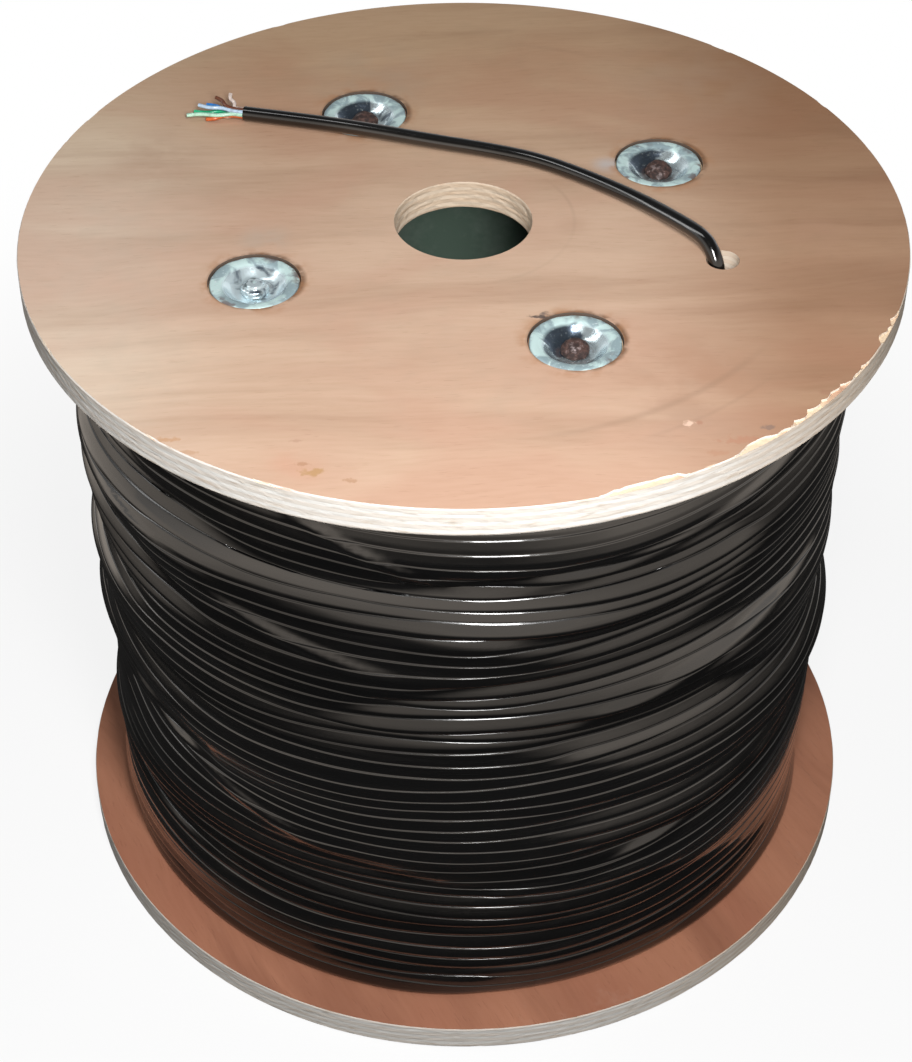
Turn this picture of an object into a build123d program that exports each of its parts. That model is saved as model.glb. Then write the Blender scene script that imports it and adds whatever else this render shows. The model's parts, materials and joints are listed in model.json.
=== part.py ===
from build123d import *
import os
from math import cos, pi, radians, sin, tan

os.makedirs("parts", exist_ok=True)

# A plywood cable drum standing on its end, wound with black network cable.
# Millimetres. The origin is the centre of the bottom flange's outer face, and +Z is the drum's axis.

# Drum
flange_diameter = 350.0
flange_thickness = 12.0
rim_chamfer = 0.6
spindle_bore_diameter = 54.0
traverse = 278.0  # clear width between the flanges
barrel_outer_diameter = 194.0
barrel_wall = 2.5
barrel_seat_depth = 3.0  # how far the barrel is let into each flange
barrel_clearance = 0.15

# Tie bolts, with a thin hexagon head below and a thin nut on top
bolt_count = 4
first_bolt_angle = 27.4
bolt_to_barrel = 1.5  # between a bolt and the barrel's inside
bolt_diameter = 6.0
bolt_hole_clearance = 0.5
thread_clearance = 0.1
nut_width = 10.0  # across flats
nut_height = 3.2
bolt_end_set_in = 0.8  # from the flange's face down to the bolt's end

# Dished washers, let into the flange's outer face
washer_diameter = 35.0
washer_thickness = 1.5
washer_dish_depth = 5.0  # from the rim down to the seat that the nut bears on
washer_seat_diameter = 18.0
washer_hole_diameter = 7.0
washer_rim_width = 2.6  # the flat ring round the dish
washer_rim_set_in = 0.3
washer_clearance = 0.2

# Cable
cable_diameter = 6.1
winding_diameter = 317.0
winding_clearance = 0.2  # between the barrel and the first layer
turn_groove_depth = 2.4  # between one turn and the next
swell_depth = 2.4  # how unevenly the top layer lies
turns_in_a_swell = 10.3
swell_phase = 120.0

# The start of the cable comes up through a hole just outside the barrel
start_hole_diameter = 13.0
start_hole_to_barrel = 0.5
start_hole_angle = -15.6

# Conductors that fan out of the cut jacket
wire_diameter = 1.1
wire_ring_radius = 1.6
wire_straight = 5.0

# Heights that follow from the driving dimensions
overall_height = traverse + 2 * flange_thickness
top_inner_face = overall_height - flange_thickness
mid_height = overall_height / 2
washer_seat_height = washer_rim_set_in + washer_dish_depth
barrel_radius = barrel_outer_diameter / 2

# Where the bolts stand, just inside the barrel
bolt_radius = barrel_radius - barrel_wall - bolt_to_barrel - bolt_diameter / 2
bolt_angles = [first_bolt_angle + 360 / bolt_count * step for step in range(bolt_count)]
bolt_points = [
    (bolt_radius * cos(radians(angle)), bolt_radius * sin(radians(angle)))
    for angle in bolt_angles
]

# The hole that the start of the cable comes up through, just outside the barrel
start_hole_radius = barrel_radius + start_hole_to_barrel + start_hole_diameter / 2
start_hole_point = (
    start_hole_radius * cos(radians(start_hole_angle)),
    start_hole_radius * sin(radians(start_hole_angle)),
)


def save(builder, name):
    """Label a finished piece and write it under the same name."""
    builder.part.label = name
    export_step(builder.part, f"parts/{name}.step")


def bend_radii(points):
    """The largest radius that each corner of a route leaves room for."""
    runs = [Vector(*end) - Vector(*start) for start, end in zip(points, points[1:])]
    radii = []
    for before, after in zip(runs, runs[1:]):
        half_turn = radians(before.get_angle(after)) / 2
        radii.append(0.45 * min(before.length, after.length) / tan(half_turn))
    return radii


# Plywood flanges: a disc with its spindle bore, the groove that the barrel seats in,
# and at each bolt a clearance hole below the recess that the dished washer is drawn into.
groove_outer_radius = barrel_radius + barrel_clearance
groove_inner_radius = barrel_radius - barrel_wall - barrel_clearance
recess_rim_radius = washer_diameter / 2 + washer_clearance
recess_floor_radius = washer_seat_diameter / 2 + washer_clearance
recess_depth = washer_seat_height + washer_thickness
recess_rim_depth = washer_rim_set_in + washer_thickness + washer_clearance

with BuildPart() as flange_bottom:
    with BuildSketch() as flange_outline:
        Circle(flange_diameter / 2)
        Circle(spindle_bore_diameter / 2, mode=Mode.SUBTRACT)
    extrude(amount=flange_thickness)
    rims = flange_bottom.edges().filter_by(GeomType.CIRCLE)
    chamfer(rims.group_by(SortBy.RADIUS)[-1], rim_chamfer)
    with BuildSketch(Plane.XY.offset(flange_thickness)) as barrel_groove:
        Circle(groove_outer_radius)
        Circle(groove_inner_radius, mode=Mode.SUBTRACT)
    extrude(amount=-barrel_seat_depth, mode=Mode.SUBTRACT)
    with BuildSketch() as bolt_clearance:
        with PolarLocations(bolt_radius, bolt_count, start_angle=first_bolt_angle):
            Circle(bolt_diameter / 2 + bolt_hole_clearance)
    extrude(amount=flange_thickness, mode=Mode.SUBTRACT)
    for bolt_x, bolt_y in bolt_points:
        with BuildSketch(Plane((bolt_x, bolt_y, 0), x_dir=(1, 0, 0), z_dir=(0, -1, 0))) as recess_section:
            with BuildLine():
                Polyline(
                    (0, 0),
                    (recess_rim_radius, 0),
                    (recess_rim_radius, recess_rim_depth),
                    (recess_floor_radius, recess_depth),
                    (0, recess_depth),
                    close=True,
                )
            make_face()
        revolve(axis=Axis((bolt_x, bolt_y, 0), (0, 0, 1)), mode=Mode.SUBTRACT)
save(flange_bottom, "flange_bottom")

# The top flange is the bottom one turned over, with the start hole drilled through.
with BuildPart() as flange_top:
    mirror(flange_bottom.part, about=Plane.XY.offset(mid_height))
    with BuildSketch(Plane.XY.offset(top_inner_face)) as start_hole:
        with Locations(start_hole_point):
            Circle(start_hole_diameter / 2)
    extrude(amount=flange_thickness, mode=Mode.SUBTRACT)
save(flange_top, "flange_top")

# Barrel: a straight tube that stands in both flanges' grooves.
barrel_base = flange_thickness - barrel_seat_depth
barrel_length = traverse + 2 * barrel_seat_depth
with BuildPart() as barrel:
    with BuildSketch(Plane.XY.offset(barrel_base)) as barrel_ring:
        Circle(barrel_radius)
        Circle(barrel_radius - barrel_wall, mode=Mode.SUBTRACT)
    extrude(amount=barrel_length)
save(barrel, "barrel")

# Dished washer, drawn with its rim on the XY plane and its dish going up from there,
# as it sits in the bottom flange: a flat ring, a thin cone wall and a flat seat round the bolt.
rim_radius = washer_diameter / 2
dish_radius = rim_radius - washer_rim_width
seat_radius = washer_seat_diameter / 2
hole_radius = washer_hole_diameter / 2
with BuildPart() as washer_form:
    with BuildSketch(Plane.XZ) as washer_section:
        with BuildLine():
            Polyline(
                (rim_radius, 0),
                (rim_radius, washer_thickness),
                (dish_radius, washer_thickness),
                (seat_radius, washer_dish_depth + washer_thickness),
                (hole_radius, washer_dish_depth + washer_thickness),
                (hole_radius, washer_dish_depth),
                (seat_radius - washer_thickness, washer_dish_depth),
                (dish_radius - washer_thickness, 0),
                close=True,
            )
        make_face()
    revolve(axis=Axis.Z)

# Tie bolt, drawn on the Z axis: the head in the bottom washer's dish and the shank up to the top face.
head_base = washer_seat_height - nut_height
bolt_end = overall_height - bolt_end_set_in
with BuildPart() as bolt_form:
    with BuildSketch(Plane.XY.offset(head_base)) as head_outline:
        RegularPolygon(nut_width / 2, 6, major_radius=False)
    extrude(amount=nut_height)
    with BuildSketch(Plane.XY.offset(washer_seat_height)) as shank_outline:
        Circle(bolt_diameter / 2)
    extrude(amount=bolt_end - washer_seat_height)

# Thin nut, drawn on the Z axis where it bears on the top washer's seat.
nut_base = overall_height - washer_seat_height
with BuildPart() as nut_form:
    with BuildSketch(Plane.XY.offset(nut_base)) as nut_outline:
        RegularPolygon(nut_width / 2, 6, major_radius=False)
        Circle(bolt_diameter / 2 + thread_clearance, mode=Mode.SUBTRACT)
    extrude(amount=nut_height)

for number, (bolt_x, bolt_y) in enumerate(bolt_points, start=1):
    with BuildPart() as tie_bolt:
        with Locations((bolt_x, bolt_y, 0)):
            add(bolt_form.part)
    save(tie_bolt, f"tie_bolt_{number}")

    with BuildPart() as bolt_nut:
        with Locations((bolt_x, bolt_y, 0)):
            add(nut_form.part)
    save(bolt_nut, f"bolt_nut_{number}")

    with BuildPart() as washer_bottom:
        with Locations((bolt_x, bolt_y, washer_rim_set_in)):
            add(washer_form.part)
    save(washer_bottom, f"washer_bottom_{number}")

    with BuildPart() as washer_top:
        mirror(washer_bottom.part, about=Plane.XY.offset(mid_height))
    save(washer_top, f"washer_top_{number}")

# Wound cable: one turned solid on the barrel, with a rib for each turn of the top layer.
# The layer lies a little unevenly, so its crests swell and dip slowly up the drum.
winding_radius = winding_diameter / 2
winding_bore_radius = barrel_radius + winding_clearance
turn_count = int(traverse / cable_diameter)
turn_pitch = traverse / turn_count
outer_points = [(winding_radius - swell_depth - turn_groove_depth, flange_thickness)]
for turn in range(turn_count):
    swell_angle = radians(swell_phase + 360 * turn / turns_in_a_swell)
    crest_radius = winding_radius - swell_depth * (0.5 + 0.5 * sin(swell_angle))
    turn_base = flange_thickness + turn * turn_pitch
    outer_points.append((crest_radius, turn_base + turn_pitch / 2))
    outer_points.append((crest_radius - turn_groove_depth, turn_base + turn_pitch))
with BuildPart() as cable_winding:
    with BuildSketch(Plane.XZ) as winding_section:
        with BuildLine():
            Polyline(
                (winding_bore_radius, flange_thickness),
                *outer_points,
                (winding_bore_radius, top_inner_face),
                close=True,
            )
        make_face()
    revolve(axis=Axis.Z)
save(cable_winding, "cable_winding")

# Cable tail: from the winding's top face up through the start hole, over the hole's edge
# and across the flange, as the points are listed. Heights are above the flange's face.
tail_route = [
    (98.6, -30.6, -flange_thickness),
    (98.6, -30.6, -4.3),
    (96.7, -27.3, 2.4),
    (93.3, -21.5, 6.2),
    (84.6, -10.4, 6.0),
    (70.3, 6.9, 4.4),
    (51.2, 24.0, 3.6),
    (31.3, 38.0, 3.4),
    (10.6, 46.0, 3.4),
    (-13.6, 52.8, 3.6),
    (-39.8, 60.6, 4.2),
    (-66.0, 68.4, 3.8),
    (-91.4, 74.6, 3.5),
]
tail_points = [(x, y, overall_height + z) for x, y, z in tail_route]
tail_radii = bend_radii(tail_points)
print("tail bend radii, mm:", [round(radius, 1) for radius in tail_radii])
with BuildPart() as cable_tail:
    with BuildLine() as tail_line:
        FilletPolyline(*tail_points, radius=tail_radii)
    with BuildSketch(Plane(origin=tail_points[0], z_dir=(0, 0, 1))) as tail_section:
        Circle(cable_diameter / 2)
    sweep()
save(cable_tail, "cable_tail")
tail_length = tail_line.wires()[0].length
section_area = pi * cable_diameter**2 / 4
print("tail length, mm:", round(tail_length, 1))
tail_volume = cable_tail.part.volume
print("tail volume over section times length:", round(tail_volume / (section_area * tail_length), 4))

# Conductors: eight thin insulated wires that leave the jacket's cut end in a ring and fan out.
# Each has its place round the ring, the way it turns off sideways and upwards, and its length.
wires = {
    "wire_white_brown": (45, -66, 26, 19.0),
    "wire_brown": (90, -26, 14, 17.0),
    "wire_blue": (0, -12, 5, 19.0),
    "wire_white_blue": (135, -4, 12, 23.0),
    "wire_green": (315, -3, -3, 24.0),
    "wire_white_green": (180, 6, 2, 25.0),
    "wire_orange": (225, 22, -2, 16.0),
    "wire_white_orange": (270, 10, -3, 15.0),
}
tail_end = Vector(*tail_points[-1])
tail_heading = (tail_end - Vector(*tail_points[-2])).normalized()
tail_side = Vector(0, 0, 1).cross(tail_heading).normalized()
tail_up = tail_heading.cross(tail_side)
for wire_name, (ring_angle, side_turn, rise, wire_length) in wires.items():
    ring_side = tail_side * (-wire_ring_radius * cos(radians(ring_angle)))
    ring_up = tail_up * (wire_ring_radius * sin(radians(ring_angle)))
    wire_start = tail_end + ring_side + ring_up
    wire_bend = wire_start + tail_heading * wire_straight
    level = cos(radians(rise))
    wire_heading = (
        tail_heading * (level * cos(radians(side_turn)))
        + tail_side * (level * sin(radians(side_turn)))
        + tail_up * sin(radians(rise))
    )
    wire_end = wire_bend + wire_heading * (wire_length - wire_straight)
    wire_points = [tuple(wire_start), tuple(wire_bend), tuple(wire_end)]
    with BuildPart() as wire:
        with BuildLine() as wire_line:
            FilletPolyline(*wire_points, radius=bend_radii(wire_points))
        with BuildSketch(Plane(origin=wire_points[0], z_dir=tail_heading)) as wire_section:
            Circle(wire_diameter / 2)
        sweep()
    save(wire, wire_name)
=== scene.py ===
import json
from math import atan2, cos, hypot, pi, radians, sin, tan

import bmesh
import bpy
from mathutils import Matrix, Vector, noise


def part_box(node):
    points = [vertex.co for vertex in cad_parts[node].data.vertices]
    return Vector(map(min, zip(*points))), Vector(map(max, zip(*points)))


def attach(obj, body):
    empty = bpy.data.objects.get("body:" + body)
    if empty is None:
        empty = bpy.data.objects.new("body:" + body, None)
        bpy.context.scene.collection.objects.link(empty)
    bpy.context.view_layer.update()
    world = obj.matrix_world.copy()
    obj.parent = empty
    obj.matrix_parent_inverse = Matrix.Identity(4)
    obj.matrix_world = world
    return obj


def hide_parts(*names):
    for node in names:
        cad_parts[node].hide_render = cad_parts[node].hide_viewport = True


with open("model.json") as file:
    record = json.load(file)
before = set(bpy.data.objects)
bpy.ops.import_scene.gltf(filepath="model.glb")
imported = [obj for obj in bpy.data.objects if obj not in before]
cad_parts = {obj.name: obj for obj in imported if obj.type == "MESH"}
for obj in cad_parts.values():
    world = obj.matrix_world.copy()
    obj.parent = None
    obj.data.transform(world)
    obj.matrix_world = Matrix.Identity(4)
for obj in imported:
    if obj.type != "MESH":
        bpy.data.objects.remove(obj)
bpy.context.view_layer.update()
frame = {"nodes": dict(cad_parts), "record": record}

# A plywood cable drum standing on its end, wound with black network cable.
# Metres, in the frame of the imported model: +Z up the drum's axis, -Y to the front.
MM = 0.001

# Sizes read from the frame
flange_low, flange_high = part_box("flange_top")
winding_low, winding_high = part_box("cable_winding")
barrel_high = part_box("barrel")[1]
RIM_RADIUS = flange_high[0]
FLANGE_INNER = flange_low[2]
FLANGE_OUTER = flange_high[2]
FLANGE_THICKNESS = FLANGE_OUTER - FLANGE_INNER
BORE_RADIUS = frame["record"]["mounts"][0]["dims"]["r_mm"] * MM
BARREL_RADIUS = barrel_high[0]
WINDING_RADIUS = winding_high[0]
WINDING_FOOT = winding_low[2]
WINDING_TOP = winding_high[2]

# Sizes of the drum's small parts
BARREL_WALL = 2.5 * MM
BARREL_SEAT = 3.0 * MM
BARREL_PLAY = 0.15 * MM
CABLE_RADIUS = 3.05 * MM
START_HOLE = Vector((100.17 * MM, -27.97 * MM, 0))
START_HOLE_RADIUS = 6.5 * MM
BOLT_HOLE_RADIUS = 3.5 * MM
VENEER = 1.3 * MM
PLY = 1.72 * MM

# The cable's start, from the hole across the flange: x, y and height above the face, in millimetres
TAIL_ROUTE = [
    (98.6, -30.6, -12.0),
    (98.6, -30.6, -4.3),
    (96.7, -27.3, 2.4),
    (93.3, -21.5, 6.2),
    (84.6, -10.4, 6.0),
    (70.3, 6.9, 4.4),
    (51.2, 24.0, 3.6),
    (31.3, 38.0, 3.4),
    (10.6, 46.0, 3.4),
    (-13.6, 52.8, 3.6),
    (-39.8, 60.6, 4.2),
    (-66.0, 68.4, 3.8),
    (-91.4, 74.6, 3.5),
]

# Each wire's place round the ring, its turn sideways and upwards in degrees, and its length in millimetres
WIRES = {
    "white_brown": (45, -60, 22, 12.5),
    "brown": (90, -24, 14, 14.5),
    "blue": (0, -5, 2, 17.5),
    "white_blue": (135, 3, 5, 19.5),
    "green": (315, 8, -1, 22.0),
    "white_green": (180, 13, -1, 24.0),
    "orange": (225, 22, -4, 16.0),
    "white_orange": (270, 10, -5, 13.0),
}
WIRE_RADIUS = 0.82 * MM
WIRE_SIDES = 3
CABLE_SIDES = 8
WIRE_RING_RADIUS = 1.6 * MM
WIRE_STRAIGHT = 5.0 * MM
WIRE_CURL = 1.2 * MM

# Insulation colours, and the stripe on the pale wire of each pair
INSULATION = {
    "white_brown": ((0.74, 0.62, 0.56), (0.20, 0.07, 0.03)),
    "brown": ((0.15, 0.05, 0.025), None),
    "orange": ((0.66, 0.13, 0.03), None),
    "white_blue": ((0.50, 0.66, 0.82), (0.02, 0.16, 0.50)),
    "blue": ((0.015, 0.20, 0.60), None),
    "white_green": ((0.50, 0.80, 0.62), (0.02, 0.36, 0.14)),
    "green": ((0.015, 0.42, 0.20), None),
    "white_orange": ((0.80, 0.52, 0.38), (0.66, 0.13, 0.03)),
}

# Camera, fitted to both flanges' outlines
CAMERA_PLACE = Vector((0.0, -0.77144, 0.81874))
CAMERA_TILT = 0.723
CAMERA_YAW = -0.0045
CAMERA_ROLL = -0.005
CAMERA_LENS = 78.94
# Lamps: place, aim, width, height and power in watts
LAMPS = {
    "key": ((0.06, -0.56, 0.74), (0, 0, 0.2), 0.14, 0.32, 6.4),
    "window": ((-0.95, 0.05, 1.15), (0, 0, 0.25), 0.22, 1.4, 3.2),
    "left_fill": ((-1.3, 1.5, 0.45), (0, 0, 0.15), 1.2, 1.0, 1.5),
    "right_fill": ((1.3, 1.5, 0.45), (0, 0, 0.15), 1.2, 1.0, 2.5),
}
WORLD_FILL = 0.08


# Node helpers


def tree_of(*values):
    """The node tree of the sockets among those values. Every helper below works in it."""
    return next(value.id_data for value in values if isinstance(value, bpy.types.NodeSocket))


def feed(socket, value):
    """Link value to the socket if it is a socket, or else write it there."""
    if isinstance(value, bpy.types.NodeSocket):
        socket.id_data.links.new(value, socket)
    elif socket.type == "RGBA" and len(value) == 3:
        socket.default_value = (*value, 1.0)
    else:
        socket.default_value = value


def set_sockets(shader, **sockets):
    """Feed a shader's sockets by name."""
    for name, value in sockets.items():
        feed(shader.inputs[name.replace("_", " ")], value)


def node(tree, kind, inputs=None, **settings):
    """A node of that kind. An input is given as a value or as the socket that feeds it."""
    made = tree.nodes.new(kind)
    for name, value in settings.items():
        setattr(made, name, value)
    for name, value in (inputs or {}).items():
        feed(made.inputs[name], value)
    return made


def calculate(operation, first, second=0.0, clamp=False):
    """One step of arithmetic on two numbers."""
    settings = {"operation": operation, "use_clamp": clamp}
    return node(tree_of(first, second), "ShaderNodeMath", {0: first, 1: second}, **settings).outputs[0]


def plus(first, second, clamp=False):
    """The sum of two numbers."""
    return calculate("ADD", first, second, clamp)


def minus(first, second):
    """The first number less the second."""
    return calculate("SUBTRACT", first, second)


def times(first, second, clamp=False):
    """The product of two numbers."""
    return calculate("MULTIPLY", first, second, clamp)


def larger(first, second):
    """The larger of two numbers."""
    return calculate("MAXIMUM", first, second)


def vector_step(operation, first, second):
    """One step of arithmetic on two vectors."""
    made = node(first.id_data, "ShaderNodeVectorMath", {0: first, 1: second}, operation=operation)
    return made.outputs[0]


def vector_length(vector):
    """How long the vector is."""
    return node(vector.id_data, "ShaderNodeVectorMath", {0: vector}, operation="LENGTH").outputs["Value"]


def stretch(vector, scale):
    """The coordinates times a scale for each axis."""
    return vector_step("MULTIPLY", vector, scale)


def axes(vector):
    """The vector's X, Y and Z."""
    return node(vector.id_data, "ShaderNodeSeparateXYZ", {0: vector}).outputs


def between(value, low, high):
    """0 below low and 1 above high, with a smooth step from one to the other."""
    inputs = {"Value": value, "From Min": low, "From Max": high}
    made = node(value.id_data, "ShaderNodeMapRange", inputs, interpolation_type="SMOOTHSTEP")
    return made.outputs["Result"]


def blend(factor, first, second, mode="MIX"):
    """The second colour over the first by the factor."""
    inputs = {"Factor": factor, 6: first, 7: second}
    tree = tree_of(factor, first, second)
    return node(tree, "ShaderNodeMix", inputs, data_type="RGBA", blend_type=mode).outputs[2]


def cover(colour, mask, strength, over):
    """The colour with another laid over it by the mask times the strength."""
    return blend(times(mask, strength), colour, over)


def tint(colour, tone, share):
    """The colour multiplied by the tone by that share."""
    return blend(share, colour, blend(1.0, colour, tone, "MULTIPLY"))


def noise_value(vector, scale=1.0, detail=2.0, distortion=0.0, roughness=0.5):
    """Noise from 0 to 1, gathered about 0.5. Its scale is one number, or one for each axis."""
    if isinstance(scale, tuple):
        vector, scale = stretch(vector, scale), 1.0
    inputs = {"Scale": scale, "Detail": detail, "Distortion": distortion, "Roughness": roughness}
    return node(vector.id_data, "ShaderNodeTexNoise", {"Vector": vector, **inputs}).outputs["Fac"]


def new_group(name, inputs, outputs=("Mask",)):
    """A shader node group with its inputs' first values: its tree, what comes in and what goes out."""
    tree = bpy.data.node_groups.new(name, "ShaderNodeTree")
    for socket_name, value in inputs.items():
        kind = "NodeSocketVector" if isinstance(value, tuple) else "NodeSocketFloat"
        tree.interface.new_socket(socket_name, in_out="INPUT", socket_type=kind).default_value = value
    for socket_name in outputs:
        tree.interface.new_socket(socket_name, in_out="OUTPUT", socket_type="NodeSocketFloat")
    return tree, tree.nodes.new("NodeGroupInput").outputs, tree.nodes.new("NodeGroupOutput").inputs


def use_group(group, inputs):
    """The group placed in a material, with its own values."""
    return node(inputs["Vector"].id_data, "ShaderNodeGroup", inputs, node_tree=group).outputs


def new_material(name, **sockets):
    """A material, its shader with the constant sockets set, and its object coordinates in metres."""
    material = bpy.data.materials.new(name)
    material.use_nodes = True
    shader = material.node_tree.nodes["Principled BSDF"]
    set_sockets(shader, **sockets)
    return material, shader, node(material.node_tree, "ShaderNodeTexCoord").outputs["Object"]


def raise_surface(shader, height, distance, strength):
    """Bump from a height of 0 to 1 over that distance."""
    inputs = {"Height": height, "Distance": distance, "Strength": strength}
    set_sockets(shader, Normal=node(shader.id_data, "ShaderNodeBump", inputs).outputs["Normal"])


# Shared patterns


def make_grain():
    """Rotary-cut veneer, grain along X: wavy soft figure, fine fibre and a few short dark pores."""
    inputs = {"Vector": (0, 0, 0), "Pore Share": 0.36}
    tree, given, result = new_group("wood_grain", inputs, ("Figure", "Fibre", "Pores"))
    # The grain lines bend sideways by a few millimetres over the length of a hand
    sway = noise_value(given["Vector"], (6.0, 9.0, 9.0))
    shift = times(minus(sway, 0.5), 0.030)
    push = node(tree, "ShaderNodeCombineXYZ", {"Y": shift}).outputs[0]
    wavy = vector_step("ADD", given["Vector"], push)
    figure = noise_value(wavy, (3.2, 26.0, 26.0), detail=4.0, distortion=0.5, roughness=0.6)
    feed(result["Figure"], figure)
    feed(result["Fibre"], noise_value(wavy, (70.0, 520.0, 520.0), detail=3.0))
    speck = noise_value(wavy, (150.0, 1300.0, 1300.0), detail=1.0)
    above = minus(speck, minus(1.0, given["Pore Share"]))
    feed(result["Pores"], times(above, 14.0, clamp=True))
    return tree


def make_mark():
    """A ragged oval mark: 1 inside, 0 outside."""
    inputs = {"Vector": (0, 0, 0), "Centre": (0, 0, 0), "Half Size": (0.004, 0.002, 1.0), "Raggedness": 0.6}
    tree, given, result = new_group("ragged_mark", inputs)
    offset = vector_step("SUBTRACT", given["Vector"], given["Centre"])
    reach = vector_length(vector_step("DIVIDE", offset, given["Half Size"]))
    edge = noise_value(given["Vector"], scale=420.0, detail=3.0)
    ragged = times(minus(edge, 0.5), given["Raggedness"])
    total = plus(reach, times(ragged, 3.0))
    feed(result["Mask"], minus(1.0, between(total, 0.45, 1.25)))
    return tree


def make_ring():
    """A ring about a centre in plan: 1 on the ring, fading over its width."""
    inputs = {"Vector": (0, 0, 0), "Centre": (0, 0, 0), "Radius": 0.02, "Width": 0.002}
    tree, given, result = new_group("ring", inputs)
    offset = vector_step("SUBTRACT", given["Vector"], given["Centre"])
    reach = vector_length(stretch(offset, (1.0, 1.0, 0.0)))
    away = calculate("ABSOLUTE", minus(reach, given["Radius"]))
    share = calculate("DIVIDE", away, given["Width"])
    feed(result["Mask"], minus(1.0, between(share, 0.0, 1.0)))
    return tree


def make_soiling():
    """Blotches of handling dirt or dust, from 0 to 1, in two sizes."""
    tree, given, result = new_group("soiling", {"Vector": (0, 0, 0), "Scale": 20.0, "Cover": 0.5})
    large = noise_value(given["Vector"], scale=given["Scale"], detail=4.0, roughness=0.6)
    small = noise_value(given["Vector"], scale=times(given["Scale"], 9.0), detail=3.0)
    both = plus(times(large, 0.7), times(small, 0.3))
    low = minus(0.85, times(given["Cover"], 0.6))
    feed(result["Mask"], times(minus(both, low), 5.0, clamp=True))
    return tree


GRAIN = make_grain()
MARK = make_mark()
RING = make_ring()
SOILING = make_soiling()


def soiling(place, scale, amount):
    """Blotches of dirt at that scale, over more of the surface for a larger amount."""
    return use_group(SOILING, {"Vector": place, "Scale": scale, "Cover": amount})["Mask"]


def ring(place, centre, radius, width):
    """A ring about the centre, with its radius and width in millimetres."""
    inputs = {"Vector": place, "Centre": centre, "Radius": radius * MM, "Width": width * MM}
    return use_group(RING, inputs)["Mask"]


def centre_of(box, height=0.0):
    """The middle of a box in plan, at that height."""
    low, high = box
    return Vector(((low[0] + high[0]) / 2, (low[1] + high[1]) / 2, height))


def washer_centres():
    """Where the four tie bolts stand, in plan."""
    return [centre_of(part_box(f"washer_top_{number}")) for number in range(1, 5)]


def washer_rings(place, radius, width, shift=(0, 0)):
    """The same ring at every washer, with its radius, width and shift in millimetres."""
    rings = 0.0
    for centre in washer_centres():
        rings = larger(rings, ring(place, centre + Vector((*shift, 0)) * MM, radius, width))
    return rings


# Marks on the top face

# Grime with no edge: centre and reach in millimetres, colour and strength
CLOUDS = [
    ((146, -68), 26, (0.42, 0.24, 0.15), 0.55),
    ((80, -128), 30, (0.44, 0.31, 0.23), 0.40),
    ((-77, -14), 15, (0.46, 0.44, 0.38), 0.45),
    ((59, 40), 9, (0.50, 0.52, 0.55), 0.60),
    ((43, -4), 10, (0.46, 0.27, 0.18), 0.35),
    ((-125, 46), 34, (0.42, 0.26, 0.18), 0.45),
    ((136, -10), 30, (0.46, 0.27, 0.18), 0.35),
    ((86, -100), 44, (0.44, 0.25, 0.16), 0.60),
    ((-38, 108), 46, (0.44, 0.33, 0.24), 0.40),
    ((96, 104), 55, (0.44, 0.30, 0.21), 0.40),
    ((-60, -152), 16, (0.60, 0.30, 0.20), 0.45),
]

# Knots, torn spots and bruises: centre and half size in millimetres, colour and strength
SPOTS = [
    ((80.1, -128.3), (2.2, 1.6), (0.86, 0.60, 0.46), 0.85),
    ((83.5, -128.0), (1.2, 1.6), (0.42, 0.20, 0.13), 0.6),
    ((-52.6, -155.0), (4.2, 1.9), (0.46, 0.27, 0.11), 0.75),
    ((-55.6, -150.5), (2.6, 1.0), (0.44, 0.23, 0.13), 0.65),
    ((-39.1, -159.6), (2.2, 1.1), (0.46, 0.26, 0.15), 0.65),
    ((-58.5, -137.9), (2.8, 0.8), (0.48, 0.29, 0.20), 0.6),
    ((-107.0, -137.0), (7.0, 1.4), (0.52, 0.27, 0.13), 0.6),
    ((-97.0, -144.2), (4.0, 1.1), (0.50, 0.28, 0.16), 0.5),
    ((98.6, -137.9), (8.5, 2.2), (0.46, 0.22, 0.14), 0.55),
    ((108.0, -131.0), (3.0, 1.5), (0.20, 0.15, 0.13), 0.6),
    ((89.0, -145.0), (4.0, 1.6), (0.46, 0.24, 0.15), 0.5),
    ((130.0, -111.0), (2.5, 1.8), (0.36, 0.19, 0.12), 0.6),
    ((28.5, -65.0), (4.4, 1.1), (0.06, 0.05, 0.05), 0.85),
    ((30.5, -62.8), (1.6, 1.4), (0.08, 0.07, 0.07), 0.7),
]

# Arcs scribed about the middle: radius and width in millimetres, and strength
ARCS = [(139.0, 2.6, 0.20), (44.0, 1.4, 0.26), (151.0, 1.6, 0.12)]


def add_clouds(place, colour):
    """The colour under the grime."""
    patchy = between(noise_value(place, scale=60.0, detail=3.0), 0.3, 0.65)
    for (x, y), reach, cloud_colour, strength in CLOUDS:
        cloud = times(ring(place, (x * MM, y * MM, 0), 0.0, reach), patchy)
        colour = cover(colour, cloud, strength, cloud_colour)
    return colour


def add_spots(place, colour):
    """The colour under the knots, torn spots and bruises."""
    for (x, y), (half_length, half_width), spot_colour, strength in SPOTS:
        half_size = (half_length * MM, half_width * MM, 1.0)
        centre = (x * MM, y * MM, FLANGE_OUTER)
        inputs = {"Vector": place, "Centre": centre, "Half Size": half_size, "Raggedness": 1.0}
        colour = cover(colour, use_group(MARK, inputs)["Mask"], strength, spot_colour)
    return colour


# Materials


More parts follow.
